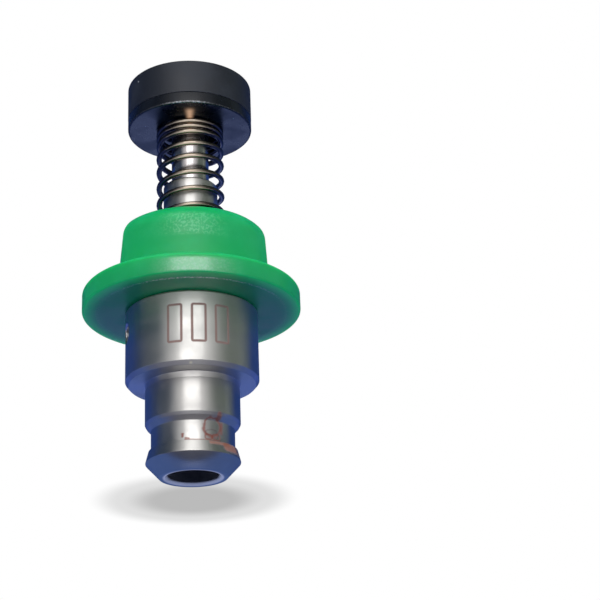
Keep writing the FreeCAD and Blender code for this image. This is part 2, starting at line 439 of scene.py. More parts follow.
shaft_outline = rounded([
    (SHAFT_BORE_RADIUS, SHAFT_BOTTOM, 0.03), (SHAFT_RADIUS - SHAFT_CHAMFER, SHAFT_BOTTOM, 0.03),
    (SHAFT_RADIUS, SHAFT_BOTTOM + SHAFT_CHAMFER, 0.03),
    *window_rows(SHAFT_RADIUS, SLOT_WINDOW_HALF, slot_middle, SLOT_WINDOW_ROWS),
    (SHAFT_RADIUS, SHAFT_TOP - SHAFT_CHAMFER, 0.03), (SHAFT_RADIUS - SHAFT_CHAMFER, SHAFT_TOP, 0.03),
    (SHAFT_BORE_RADIUS, SHAFT_TOP, 0.03),
])


def slot_ring(corners, half_width, along=None):
    """The slot's outline, shrunk or grown. Each point is the nearest to a corner of the window's frame."""
    ring = []
    for across, height in corners:
        centre = min(max(height, SLOT_LOW_CENTRE), SLOT_HIGH_CENTRE)
        away = Vector((across, height - centre)).normalized() * half_width
        depth = math.sqrt(SHAFT_RADIUS ** 2 - away.x ** 2) if along is None else along
        ring.append((depth, away.x, centre + away.y))
    return ring


def shaft_mesh(segments=SEGMENTS):
    points, faces = turned(shaft_outline, segments)
    rows = window_indices(shaft_outline, SHAFT_RADIUS, SLOT_WINDOW_HALF, slot_middle)
    middles = (0, segments // 2)
    faces = without_windows(faces, [rows], middles, segments)
    steps = window_frame(WINDOW_COLUMNS, SLOT_WINDOW_ROWS)
    for middle, side in zip(middles, (1, -1)):
        loop = [rows[row] * segments + (middle + column) % segments for row, column in steps]
        corners = [(points[corner][1] * side, points[corner][2]) for corner in loop]
        rings = [
            slot_ring(corners, SLOT_HALF_WIDTH + SUPPORT), slot_ring(corners, SLOT_HALF_WIDTH),
            slot_ring(corners, SLOT_HALF_WIDTH, SLOT_FLOOR + EDGE),
            slot_ring(corners, SLOT_HALF_WIDTH - EDGE, SLOT_FLOOR),
            slot_ring(corners, SLOT_HALF_WIDTH * SLOT_MIDDLE_SHARE, SLOT_FLOOR),
        ]
        faces.append(tuple(lead_in(points, faces, loop, rings, side)))
    return tidy_points(points, faces)


steel_shaft = add_piece("steel_shaft", *shaft_mesh(), body="plunger")
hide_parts("plunger_shaft")

# %% [markdown]
# The green background disc is moulded. Its flange is round, but its collar is a tapered dome with a
# flat on two sides, so a lathe outline isn't enough. It is still built from rings: each ring is a
# circle cut by the two flats, with small rounded corners where they meet. The columns stand closer
# together at those corners, so that the rounding is real geometry and not only shading. The flats
# are turned a little from the line of the cross pins, as they are on the real nozzle.

# %% Ring of the collar
COLLAR_FOOT_RADIUS = 6.22
COLLAR_FOOT_HALF_WIDTH = 5.42
COLLAR_HEIGHT = 5.15
COLLAR_DRAFT = 0.29
COLLAR_SHOULDER = 1.9
COLLAR_CORNER = 0.2
COLLAR_FOOT_FILLET = 0.35
COLLAR_TURN = math.radians(-7.2)
FLANGE_RADIUS = 8.06
FLANGE_TOP = 14.0
FLANGE_TOP_EDGE = 0.25
FLANGE_BOTTOM_EDGE = 0.15
DISC_BORE_RADIUS = 3.21
MOUTH_CHAMFER = 0.05
COLUMN_STRETCHES = ((0, 27.5 / 12, 12), (27.5, 0.25, 16), (31.5, 0.5, 15), (39, 2.125, 25))


def flatted_radius(angle, radius, half_width, corner):
    """How far out a flatted circle is in one direction; the flats face 0 and 180 degrees."""
    inner = half_width - corner
    across = math.sqrt((radius - corner) ** 2 - inner ** 2)
    turn = math.acos(min(1, abs(math.cos(angle))))
    if math.tan(turn) * half_width <= across:
        return half_width / math.cos(turn)
    if turn >= math.atan2(across, inner):
        return radius
    along = inner * math.cos(turn) + across * math.sin(turn)
    return along + math.sqrt(along ** 2 - inner ** 2 - across ** 2 + corner ** 2)


def column_angles():
    """Directions round the disc, closest together at the four corners of the collar."""
    quarter = [start + step * i for start, step, count in COLUMN_STRETCHES for i in range(count)]
    half_turn = quarter + [180 - a for a in quarter]
    whole_turn = half_turn + [180 + a for a in half_turn]
    return [math.radians(a) for a in sorted({round(a % 360, 4) for a in whole_turn})]


angles = column_angles()
print("columns:", len(angles))

# %% Rings of the disc
FLANGE_BOTTOM_STEPS = 5
FLANGE_TOP_STEPS = 6
FILLET_STEPS = 4
COLLAR_SHARES = (0.13, 0.3, 0.55, 0.8, 0.97)
SHOULDER_STEPS = 12


def arc(start, end, steps):
    return [math.radians(start + (end - start) * step / steps) for step in range(steps + 1)]


def disc_rings():
    """(radius, half width or None where round, corner, height) of each ring, bottom, outside, top, bore."""
    def edge(radius, height):
        return (radius, None, 0, height)

    rings = [edge(DISC_BORE_RADIUS, DRUM_TOP), edge(DISC_BORE_RADIUS + SUPPORT, DRUM_TOP)]
    rings.append(edge(FLANGE_RADIUS - FLANGE_BOTTOM_EDGE - SUPPORT, DRUM_TOP))
    for t in arc(-90, 0, FLANGE_BOTTOM_STEPS):
        rings.append(edge(
            FLANGE_RADIUS - FLANGE_BOTTOM_EDGE * (1 - math.cos(t)),
            DRUM_TOP + FLANGE_BOTTOM_EDGE * (1 + math.sin(t)),
        ))
    rings.append(edge(FLANGE_RADIUS, DRUM_TOP + FLANGE_BOTTOM_EDGE + SUPPORT))
    rings.append(edge(FLANGE_RADIUS, FLANGE_TOP - FLANGE_TOP_EDGE - SUPPORT))
    for t in arc(0, 90, FLANGE_TOP_STEPS):
        rings.append(edge(
            FLANGE_RADIUS - FLANGE_TOP_EDGE * (1 - math.cos(t)),
            FLANGE_TOP - FLANGE_TOP_EDGE * (1 - math.sin(t)),
        ))
    rings.append(edge(FLANGE_RADIUS - FLANGE_TOP_EDGE - SUPPORT, FLANGE_TOP))

    def wall(rise, outward, corner=COLLAR_CORNER):
        """The flatted ring that stands outward of the collar's foot, at a rise above the flange."""
        return (COLLAR_FOOT_RADIUS + outward, COLLAR_FOOT_HALF_WIDTH + outward, corner, FLANGE_TOP + rise)

    def drafted(rise):
        return -COLLAR_DRAFT * rise / COLLAR_HEIGHT

    rings.append(wall(0, COLLAR_FOOT_FILLET + SUPPORT, COLLAR_CORNER + COLLAR_FOOT_FILLET))
    for t in arc(0, 90, FILLET_STEPS):
        rise = COLLAR_FOOT_FILLET * (1 - math.cos(t))
        spread = COLLAR_FOOT_FILLET * (1 - math.sin(t))
        rings.append(wall(rise, drafted(rise) + spread, COLLAR_CORNER + spread))
    slope = math.atan2(COLLAR_DRAFT, COLLAR_HEIGHT)
    reach = COLLAR_SHOULDER * math.tan(math.pi / 4 - slope / 2)
    shoulder_foot = COLLAR_HEIGHT - reach * math.cos(slope)
    for share in COLLAR_SHARES:
        rings.append(wall(shoulder_foot * share, drafted(shoulder_foot * share)))
    for step in range(SHOULDER_STEPS + 1):
        t = slope + (math.pi / 2 - slope) * step / SHOULDER_STEPS
        rings.append(wall(
            COLLAR_HEIGHT - COLLAR_SHOULDER * (1 - math.sin(t)),
            COLLAR_SHOULDER * math.cos(t) - COLLAR_DRAFT - reach,
        ))
    mouth = DISC_BORE_RADIUS + MOUTH_CHAMFER
    top = FLANGE_TOP + COLLAR_HEIGHT
    rings += [
        edge(mouth + SUPPORT, top), edge(mouth, top), edge(DISC_BORE_RADIUS, top - MOUTH_CHAMFER),
        edge(DISC_BORE_RADIUS, top - MOUTH_CHAMFER - SUPPORT), edge(DISC_BORE_RADIUS, DRUM_TOP + SUPPORT),
    ]
    return rings


# %% Disc mesh
def disc_mesh():
    rings = disc_rings()
    points = []
    for radius, half_width, corner, height in rings:
        for angle in angles:
            reach = radius if half_width is None else flatted_radius(angle, radius, half_width, corner)
            points.append(on_circle(reach, height, angle + COLLAR_TURN))
    return points, ring_faces(len(rings), len(angles))


green_disc = add_piece("green_disc", *disc_mesh())
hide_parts("background_disc")

# %% [markdown]
# The return spring is a right-handed coil of round wire with closed, ground ends. A curve with a
# bevel would do for the coil, but not for the ground ends, so the wire is swept in code and its
# ends are pressed flat at the two seats. Its pitch changes from the closed turns to the open ones.
# When the plunger moves, the real spring shortens.

# %% Spring
WIRE_RADIUS = 0.21
COIL_RADIUS = 2.39
HOLDER_BOTTOM = 27.73
END_GAP = 0.01
CLOSED_TURNS = 2.5
CLOSED_RISE = 0.43
TIGHT_TURNS = 2.0
TIGHT_RISE = 1.075
OPEN_TURNS = 6.0
FRONT_ANGLE = math.radians(-102.4)
STEPS_PER_TURN = 40
WIRE_SIDES = 14
GROUND_TURNS = 0.5
EASING = (-0.25, -0.125, 0, 0.125, 0.25)


def coil_height(turns):
    """Height of the wire's centre, a number of turns down from the top closed turn."""
    top = HOLDER_BOTTOM - END_GAP - WIRE_RADIUS
    bottom = SPRING_SEAT + END_GAP + WIRE_RADIUS
    level = CLOSED_TURNS - GROUND_TURNS
    open_rise = (top - bottom - 2 * level * CLOSED_RISE - TIGHT_TURNS * TIGHT_RISE) / OPEN_TURNS
    height = top
    left = turns
    for count, rise in ((level, CLOSED_RISE), (TIGHT_TURNS, TIGHT_RISE), (OPEN_TURNS, open_rise)):
        part = min(left, count)
        height -= part * rise
        left -= part
        if left <= 0:
            return height
    return height - left * CLOSED_RISE


def spring_mesh():
    low = SPRING_SEAT + END_GAP
    high = HOLDER_BOTTOM - END_GAP
    turns_in_all = 2 * CLOSED_TURNS + TIGHT_TURNS + OPEN_TURNS
    centres = []
    for step in range(int(turns_in_all * STEPS_PER_TURN) + 1):
        turns = step / STEPS_PER_TURN - GROUND_TURNS
        height = sum(coil_height(turns + shift) for shift in EASING) / len(EASING)
        centres.append(Vector(on_circle(COIL_RADIUS, height, FRONT_ANGLE - 2 * math.pi * turns)))
    points = []
    for i, centre in enumerate(centres):
        ahead = (centres[min(i + 1, len(centres) - 1)] - centres[max(i - 1, 0)]).normalized()
        outward = Vector((centre.x, centre.y, 0)).normalized()
        across = ahead.cross(outward).normalized()
        for side in range(WIRE_SIDES):
            t = 2 * math.pi * side / WIRE_SIDES
            point = centre + (outward * math.cos(t) + across * math.sin(t)) * WIRE_RADIUS
            point.z = min(max(point.z, low), high)
            points.append(point)
    faces = [tuple(range(WIRE_SIDES)), tuple(reversed(range(len(points) - WIRE_SIDES, len(points))))]
    for i in range(len(centres) - 1):
        for side in range(WIRE_SIDES):
            beside = (side + 1) % WIRE_SIDES
            a, b = i * WIRE_SIDES, (i + 1) * WIRE_SIDES
            faces.append((a + side, b + side, b + beside, a + beside))
    return points, faces


coil = add_piece("coil", *spring_mesh())
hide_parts("return_spring")
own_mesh(coil)

# %% [markdown]
# The head is a thin black disc with a rubber pad on it. Both are turned shapes, and both show the
# camera little more than an edge and an underside. So their rounded edges matter most: a crisp
# narrow chamfer on the hard disc, and a softer edge on the rubber.

# %% Holder and pad
HOLDER_RADIUS = 4.78
HOLDER_TOP = 28.65
SPIGOT_RADIUS = 2.4
HEAD_RADIUS = 2.9
HEAD_BOTTOM = 30.0
SHAFT_SEAT_RADIUS = 1.43
PAD_RADIUS = 4.79
PAD_TOP = 31.35
RECESS_RADIUS = 4.0
RECESS_FLOOR = 30.55
SPIGOT_SEAT_RADIUS = 2.41
HEAD_SEAT_RADIUS = 2.91

black_disc = add_piece("black_disc", *turned(rounded([
    (SHAFT_SEAT_RADIUS, HOLDER_BOTTOM, 0.02), (HOLDER_RADIUS, HOLDER_BOTTOM, 0.13),
    (HOLDER_RADIUS, 28.59, 0.02), (4.72, HOLDER_TOP, 0.02), (SPIGOT_RADIUS, HOLDER_TOP, 0.03),
    (SPIGOT_RADIUS, HEAD_BOTTOM, 0.03), (HEAD_RADIUS, HEAD_BOTTOM, 0.03), (HEAD_RADIUS, 30.3, 0.03),
    (2.8, SHAFT_TOP, 0.03), (SHAFT_SEAT_RADIUS, SHAFT_TOP, 0.02),
])), body="plunger")
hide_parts("pad_holder")

soft_pad = add_piece("soft_pad", *turned(rounded([
    (SPIGOT_SEAT_RADIUS, HOLDER_TOP, 0.03), (PAD_RADIUS, HOLDER_TOP, 0.06), (PAD_RADIUS, PAD_TOP, 0.1),
    (RECESS_RADIUS, PAD_TOP, 0.1), (RECESS_RADIUS, RECESS_FLOOR, 0.1), (HEAD_SEAT_RADIUS, RECESS_FLOOR, 0.03),
    (HEAD_SEAT_RADIUS, HEAD_BOTTOM, 0.02), (SPIGOT_SEAT_RADIUS, HEAD_BOTTOM, 0.02),
])), body="plunger")
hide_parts("rubber_pad")

# %% [markdown]
# Materials are made of nodes. Helpers keep the code short: they add a node and link or set its
# sockets, and add the kinds that are needed most, such as arithmetic, a smooth fade and a mixture
# of two colours. Effects that several materials share are node groups, built once and placed in
# each. A group hands back masks, heights and measures, and never a shader.

# %% Node helpers
MIX_SHARE, MIX_FIRST, MIX_SECOND, MIX_RESULT = 0, 6, 7, 2


def fill(tree, node, values):
    """Links a node's inputs to sockets, or sets them to numbers or colours, by name or in order."""
    pairs = values.items() if isinstance(values, dict) else enumerate(values)
    for key, value in pairs:
        if isinstance(value, bpy.types.NodeSocket):
            tree.links.new(value, node.inputs[key])
        else:
            node.inputs[key].default_value = value


def add(tree, kind, values=(), **settings):
    """A new node with its settings, and its inputs filled in."""
    made = tree.nodes.new(kind)
    for name, value in settings.items():
        setattr(made, name, value)
    fill(tree, made, values)
    return made


def calc(tree, operation, *values):
    return add(tree, "ShaderNodeMath", values, operation=operation).outputs[0]


def fade(tree, value, start, end, low=0.0, high=1.0):
    """Goes smoothly from low to high as value goes from start to end."""
    made = add(tree, "ShaderNodeMapRange", (value, start, end, low, high), interpolation_type="SMOOTHSTEP")
    return made.outputs[0]


def mix(tree, share, first, second):
    """A colour between two colours."""
    values = {MIX_SHARE: share, MIX_FIRST: first, MIX_SECOND: second}
    return add(tree, "ShaderNodeMix", values, data_type="RGBA").outputs[MIX_RESULT]


def bumped(tree, relief, depth):
    """A normal for a relief with a depth in millimetres."""
    values = {"Height": relief, "Strength": 1.0, "Distance": depth * MM}
    return add(tree, "ShaderNodeBump", values).outputs[0]


def new_group(name, inputs, outputs):
    """A node group with number sockets. Returns the group, its inputs inside and its outputs inside."""
    group = bpy.data.node_groups.new(name, "ShaderNodeTree")
    for label, default in inputs:
        socket = group.interface.new_socket(name=label, in_out="INPUT", socket_type="NodeSocketFloat")
        socket.default_value = default
    for label in outputs:
        group.interface.new_socket(name=label, in_out="OUTPUT", socket_type="NodeSocketFloat")
    return group, group.nodes.new("NodeGroupInput").outputs, group.nodes.new("NodeGroupOutput").inputs


def place_group(tree, group, **values):
    """The group as a node, with its inputs filled in by name. An underscore stands for a space."""
    made = add(tree, "ShaderNodeGroup", node_tree=group)
    fill(tree, made, {name.replace("_", " "): value for name, value in values.items()})
    return made.outputs


def new_material(name):
    material = bpy.data.materials.new(name)
    material.use_nodes = True
    return material, material.node_tree, material.node_tree.nodes["Principled BSDF"]


def linear(red, green, blue):
    """A colour for a shader's socket, from the 0-255 numbers of a screen colour."""
    def channel(value):
        value /= 255
        return value / 12.92 if value <= 0.04045 else ((value + 0.055) / 1.055) ** 2.4
    return (channel(red), channel(green), channel(blue), 1)


# %% [markdown]
# Marks on a turned piece are easiest to place by their direction round the axis and their height,
# which is how a maker would state them. This group works both out from the object's coordinates.
# The direction is in degrees from the front, counted to the right.

# %% Where a point is
PER_METRE = 1000


def make_place_group():
    group, _, ends = new_group("Place on the part", [], ["Turn", "Height", "Radius"])
    spot = add(group, "ShaderNodeSeparateXYZ", (add(group, "ShaderNodeTexCoord").outputs["Object"],)).outputs
    front = calc(group, "MULTIPLY", spot["Y"], -1)
    turn = calc(group, "MULTIPLY", calc(group, "ARCTAN2", spot["X"], front), 180 / math.pi)
    out_x = calc(group, "MULTIPLY", spot["X"], spot["X"])
    out_y = calc(group, "MULTIPLY", spot["Y"], spot["Y"])
    radius = calc(group, "SQRT", calc(group, "ADD", out_x, out_y))
    group.links.new(turn, ends["Turn"])
    group.links.new(calc(group, "MULTIPLY", spot["Z"], PER_METRE), ends["Height"])
    group.links.new(calc(group, "MULTIPLY", radius, PER_METRE), ends["Radius"])
    return group


PLACE = make_place_group()


def turned_away(tree, place, middle):
    """How many degrees a point lies to either side of one direction."""
    return calc(tree, "ABSOLUTE", calc(tree, "SUBTRACT", place["Turn"], middle))


# %% [markdown]
# A lathe tool leaves fine lines round the axis. Noise that changes quickly along the axis and
# outwards, and hardly at all round it, gives such lines on walls and faces alike. The group hands
# back a height for a bump and a tone that varies the roughness a little from band to band.

# %% Turning lines
ALONG_THE_CUT = 0.004
TONE_COARSENESS = 0.22


def make_turning_group():
    group, starts, ends = new_group("Turning lines", [("Fineness", 6.0)], ["Height", "Tone"])
    place = place_group(group, PLACE)
    for label, fineness, detail in (("Height", 1.0, 3.0), ("Tone", TONE_COARSENESS, 2.0)):
        scale = calc(group, "MULTIPLY", starts["Fineness"], fineness)
        vector = add(group, "ShaderNodeCombineXYZ", (
            calc(group, "MULTIPLY", place["Height"], scale),
            calc(group, "MULTIPLY", place["Radius"], scale),
            calc(group, "MULTIPLY", place["Turn"], ALONG_THE_CUT),
        )).outputs[0]
        noise = add(group, "ShaderNodeTexNoise", {
            "Vector": vector, "Scale": 1.0, "Detail": detail, "Roughness": 0.6,
        })
        group.links.new(noise.outputs[0], ends[label])
    return group


TURNING = make_turning_group()

# %% [markdown]
# Moulded plastic, rubber and blasted metal all have a grain: tiny bumps with no direction. One
# noise in the object's own millimetres makes it, and a second, wider one gives the faint patches
# left by handling, where a surface is a little duller.

# %% Grain
def make_grain_group():
    group, starts, ends = new_group("Grain", [("Fineness", 6.0), ("Patch Size", 0.5)], ["Height", "Patches"])
    coordinates = add(group, "ShaderNodeTexCoord").outputs["Object"]
    for label, socket, detail in (("Height", "Fineness", 2.0), ("Patches", "Patch Size", 4.0)):
        scale = calc(group, "MULTIPLY", starts[socket], PER_METRE)
        noise = add(group, "ShaderNodeTexNoise", {"Vector": coordinates, "Scale": scale, "Detail": detail})
        group.links.new(noise.outputs[0], ends[label])
    return group


GRAIN = make_grain_group()

# %% [markdown]
# Dust and lint show as pale specks on the dark pieces and the green one. A Voronoi texture scatters
# one point in each cell. Only the cells whose random number is high get a speck, so the specks are
# few and uneven, as real ones are.

# %% Dust specks
SMALLEST_SPECK = 0.4
SPECK_EDGE = (1.2, 0.6)


def make_dust_group():
    group, starts, ends = new_group(
        "Dust specks", [("Spacing", 1.0), ("Size", 0.06), ("Share", 0.3)], ["Specks"],
    )
    coordinates = add(group, "ShaderNodeTexCoord").outputs["Object"]
    scale = calc(group, "DIVIDE", PER_METRE, starts["Spacing"])
    cells = add(group, "ShaderNodeTexVoronoi", {"Vector": coordinates, "Scale": scale})
    chance = add(group, "ShaderNodeSeparateColor", (cells.outputs["Color"],)).outputs
    part_of_cell = calc(group, "DIVIDE", starts["Size"], starts["Spacing"])
    size = calc(group, "MULTIPLY", part_of_cell, calc(group, "ADD", chance[1], SMALLEST_SPECK))
    ratio = calc(group, "DIVIDE", cells.outputs["Distance"], size)
    speck = fade(group, ratio, *SPECK_EDGE)
    kept = calc(group, "LESS_THAN", chance[0], starts["Share"])
    group.links.new(calc(group, "MULTIPLY", speck, kept), ends["Specks"])
    return group


DUST = make_dust_group()

# %% [markdown]
# The laser's strokes and the rust are both thin lines on the steel, and both have a filled kind
# too. One group makes them: it measures the distance to a rounded frame, and hands back the line
# along that frame and the area inside it.

# %% Framed marks
def make_mark_group():
    group, starts, ends = new_group(
        "Framed mark",
        [
            ("Across", 0.0), ("Up", 0.0), ("Half Width", 0.5), ("Half Height", 0.5), ("Corner", 0.1),
            ("Stroke", 0.2), ("Softness", 0.05),
        ],
        ["Line", "Area"],
    )
    gaps = []
    for along, half in (("Across", "Half Width"), ("Up", "Half Height")):
        inner = calc(group, "SUBTRACT", starts[half], starts["Corner"])
        gaps.append(calc(group, "SUBTRACT", calc(group, "ABSOLUTE", starts[along]), inner))
    outside = [calc(group, "MAXIMUM", gap, 0.0) for gap in gaps]
    squares = [calc(group, "MULTIPLY", gap, gap) for gap in outside]
    corner_gap = calc(group, "SQRT", calc(group, "ADD", squares[0], squares[1]))
    inside_gap = calc(group, "MINIMUM", calc(group, "MAXIMUM", gaps[0], gaps[1]), 0.0)
    distance = calc(group, "SUBTRACT", calc(group, "ADD", corner_gap, inside_gap), starts["Corner"])
    half_stroke = calc(group, "MULTIPLY", starts["Stroke"], 0.5)
    off_line = calc(group, "SUBTRACT", calc(group, "ABSOLUTE", distance), half_stroke)
    edge = calc(group, "MULTIPLY", starts["Softness"], -1)
    group.links.new(fade(group, off_line, starts["Softness"], edge), ends["Line"])
    group.links.new(fade(group, distance, starts["Softness"], edge), ends["Area"])
    return group


MARK = make_mark_group()
print("node groups:", [group.name for group in bpy.data.node_groups])

# %% [markdown]
# Turned stainless steel is the nozzle's main finish. One flat grey with one roughness would look
# like paint. So the roughness changes in bands and patches, a shallow bump follows the tool's
# lines, and the highlights are drawn out along the axis, as real grooves draw them. The laser's
# strokes, the rust and one painted glint on the drum's chamfer are marks in a table. Rust lies on
# the metal, so under a mark the surface is rougher and less metallic.

# %% Marks on the steel
STEEL = linear(197, 195, 192)
LASER = linear(150, 116, 106)
RUST = linear(150, 76, 58)
ORANGE_RUST = linear(172, 104, 78)
DARK_RUST = linear(96, 40, 34)
CHAMFER_GLINT = linear(236, 228, 200)
WANDER_SCALE = 1400.0


def stained(tree, place, marks, colour):
    """The colour with each mark laid over it, and the mask of them all.

    A mark is (kind, turn, height, half width, half height, corner, stroke, softness, wander, paint,
    strength), in degrees and millimetres. Wander is how far its edge strays.
    """
    cover = 0.0
    wander_noise = add(tree, "ShaderNodeTexNoise", {
        "Vector": add(tree, "ShaderNodeTexCoord").outputs["Object"], "Scale": WANDER_SCALE, "Detail": 3.0,
    }).outputs[0]
    wobble = calc(tree, "SUBTRACT", wander_noise, 0.5)
    for kind, turn, height, half_width, half_height, corner, stroke, softness, wander, paint, strength in marks:
        turned_by = calc(tree, "MULTIPLY", calc(tree, "SUBTRACT", place["Turn"], turn), math.pi / 180)
        across = calc(tree, "MULTIPLY", turned_by, place["Radius"])
        up = calc(tree, "SUBTRACT", place["Height"], height)
        if wander:
            across = calc(tree, "ADD", across, calc(tree, "MULTIPLY", wobble, wander))
            up = calc(tree, "SUBTRACT", up, calc(tree, "MULTIPLY", wobble, wander))
        mask = place_group(
            tree, MARK, Across=across, Up=up, Half_Width=half_width, Half_Height=half_height,
            Corner=corner, Stroke=stroke, Softness=softness,
        )[kind]
        mask = calc(tree, "MULTIPLY", mask, strength)
        colour = mix(tree, mask, colour, paint)
        cover = calc(tree, "MAXIMUM", cover, mask)
    return colour, cover


BOX_TURNS = (-26.85, -6.55, 13.65)
body_marks = [
    ("Line", turn, 9.96, 0.48, 1.39, 0.1, 0.17, 0.04, 0.0, LASER, 0.9) for turn in BOX_TURNS
] + [
    ("Line", 14.0, 2.88, 0.62, 0.68, 0.6, 0.17, 0.08, 0.55, RUST, 0.8),
    ("Line", 13.0, 2.5, 0.42, 0.2, 0.2, 0.07, 0.06, 0.45, DARK_RUST, 0.55),
    ("Area", 22.0, 3.68, 0.2, 0.24, 0.15, 0.1, 0.1, 0.35, RUST, 0.8),
    ("Area", 28.5, 2.9, 0.13, 0.5, 0.12, 0.1, 0.1, 0.3, RUST, 0.75),
    ("Line", 8.5, 2.18, 0.26, 0.16, 0.15, 0.11, 0.06, 0.25, RUST, 0.75),
    ("Line", 20.0, 2.18, 0.3, 0.18, 0.15, 0.11, 0.06, 0.25, RUST, 0.8),
    ("Area", 2.0, 1.93, 1.35, 0.045, 0.04, 0.1, 0.04, 0.08, RUST, 0.8),
    ("Area", -26.0, 2.25, 0.09, 0.18, 0.08, 0.1, 0.06, 0.3, RUST, 0.8),
    ("Area", -20.0, 2.02, 0.16, 0.05, 0.05, 0.1, 0.05, 0.2, RUST, 0.7),
    ("Area", 24.0, 1.73, 0.9, 0.13, 0.1, 0.1, 0.1, 0.15, ORANGE_RUST, 0.75),
    ("Area", 42.0, 1.55, 0.8, 0.3, 0.25, 0.1, 0.16, 0.3, ORANGE_RUST, 0.8),
    ("Area", 58.0, 1.5, 0.2, 0.3, 0.15, 0.1, 0.12, 0.2, DARK_RUST, 0.75),
    # A painted highlight: a small pale glint on the drum's lower chamfer, facing the camera.
    ("Area", -13.6, 6.99, 0.09, 0.05, 0.04, 0.1, 0.06, 0.0, CHAMFER_GLINT, 0.8),
]
print("marks on the body:", len(body_marks))

# %% Steel materials
PATCHES = (0.4, 0.7)
PATCH_TINT = (0.35, 0.75)
PATCH_DULLING = (-0.03, 0.06)
BANDS = (0.3, 0.7)
BAND_DULLING = (-0.03, 0.04)
MARK_DULLING = 0.25
METAL_UNDER_MARKS = 0.25
DARKER = 0.9
GRAIN_SHARE = 0.4
STEEL_GRAIN = 9.0
STEEL_PATCH = 0.45
ALONG_AXIS = 0.25
PAINTED_HIGHLIGHT_SIDE = (6, 42)


def make_steel(name, roughness, fineness, depth, stretch=0.0, marks=(), colour=STEEL, bright=None):
    """Turned steel: fine lines, slow changes of shine, and any marks on it.

    Stretch draws the highlights out along the axis. Bright is (turn, colour elsewhere), a painted
    highlight: the colour stays round one direction and turns to the other colour away from it.
    """
    material, tree, shader = new_material(name)
    place = place_group(tree, PLACE) if marks or bright else None
    lines = place_group(tree, TURNING, Fineness=fineness)
    grain = place_group(tree, GRAIN, Fineness=STEEL_GRAIN, Patch_Size=STEEL_PATCH)
    duller = fade(tree, grain["Patches"], *PATCHES, *PATCH_DULLING)
    banded = fade(tree, lines["Tone"], *BANDS, *BAND_DULLING)
    rough = calc(tree, "ADD", calc(tree, "ADD", duller, banded), roughness)
    darker = tuple(c * DARKER for c in colour[:3]) + (1,)
    tint = mix(tree, fade(tree, grain["Patches"], *PATCH_TINT), colour, darker)
    metal = 1.0
    # Painted highlight: lighter round one direction, darker elsewhere.
    if bright:
        middle, elsewhere = bright
        tint = mix(tree, fade(tree, turned_away(tree, place, middle), *PAINTED_HIGHLIGHT_SIDE), tint, elsewhere)
    if marks:
        tint, cover = stained(tree, place, marks, tint)
        metal = fade(tree, cover, 0, 1, 1.0, METAL_UNDER_MARKS)
        rough = calc(tree, "ADD", rough, calc(tree, "MULTIPLY", cover, MARK_DULLING))
    relief = calc(tree, "ADD", lines["Height"], calc(tree, "MULTIPLY", grain["Height"], GRAIN_SHARE))
    fill(tree, shader, {
        "Base Color": tint, "Metallic": metal, "Roughness": rough, "Normal": bumped(tree, relief, depth),
    })
    if stretch:
        round_axis = add(tree, "ShaderNodeTangent", direction_type="RADIAL", axis="Z")
        fill(tree, shader, {
            "Anisotropic": stretch, "Anisotropic Rotation": ALONG_AXIS, "Tangent": round_axis.outputs[0],
        })
    return material


body_steel = make_steel(
    "turned_steel", roughness=0.37, fineness=5.0, depth=0.001, stretch=0.8, marks=body_marks,
)
shaft_steel = make_steel(
    "polished_steel", roughness=0.22, fineness=7.0, depth=0.0004, stretch=0.3, colour=linear(205, 200, 200),
)
# The spring wire keeps its lighter colour only round the camera's direction: a painted highlight.
wire_steel = make_steel(
    "spring_wire", roughness=0.2, fineness=9.0, depth=0.0006, colour=linear(158, 146, 132),
    bright=(-12.4, linear(84, 78, 76)),
)
print("steel:", [material.name for material in (body_steel, shaft_steel, wire_steel)])

# %% [markdown]
# The green disc is moulded plastic, the holder is anodised black and the pad is rubber. All three
# have a grain, patches and dust, so one function makes them. Light also spreads inside the green
# plastic, which keeps its shaded side green. Handling has worn the green rim smooth. A band is a
# window of height, radius and direction, which may be smoother and have a coat of its own, and
# whose colour is painted paler where the grain stands up: a painted highlight, strongest towards
# the camera. The painted light edge is emission on an underside, painted light that stands for
# light coming back from nearby surfaces, which a few lamps and cards don't give.

# %% Worn bands with painted highlights, and painted light on undersides
BAND_EDGE = 0.04
STEADY_TURN = 6
BAND_AWAY_FROM_FRONT = 0.06
RAISED_GRAIN = (0.45, 0.62)
RAISED_SHARE = (0.05, 0.5)
UNDERSIDE = (0.02, 0.12)


def worn_and_painted_band(tree, place, grain, looks, band):
    """The (tint, roughness, coat) with a band laid over them: smoother and coated where worn, and painted paler
    as a painted highlight.

    Shine is how much smoother the band is, coat how strong a coat it has, and spread how many
    degrees it reaches from its turn.
    """
    tint, rough, coat = looks
    rising = fade(tree, place["Height"], band["low"], band["low"] + band["softness"])
    falling = fade(tree, place["Height"], band["high"], band["high"] + band["softness"], 1.0, 0.0)
    outward = fade(tree, place["Radius"], band["inner"], band["inner"] + BAND_EDGE)
    inward = fade(tree, place["Radius"], band["outer"], band["outer"] + BAND_EDGE, 1.0, 0.0)
    away = turned_away(tree, place, band["turn"])
    worn = fade(tree, away, STEADY_TURN, band["spread"], 1.0, BAND_AWAY_FROM_FRONT)
    worn = calc(tree, "MULTIPLY", calc(tree, "MULTIPLY", rising, falling), worn)
    worn = calc(tree, "MULTIPLY", worn, calc(tree, "MULTIPLY", outward, inward))
    # Painted highlight: the band's paler colour, speckled where the grain stands up.
    painted_speckle = calc(tree, "MULTIPLY", worn, fade(tree, grain["Height"], *RAISED_GRAIN, *RAISED_SHARE))
    return (
        mix(tree, painted_speckle, tint, band["colour"]),
        calc(tree, "SUBTRACT", rough, calc(tree, "MULTIPLY", worn, band["shine"])),
        calc(tree, "ADD", coat, calc(tree, "MULTIPLY", worn, band["coat"])),
    )


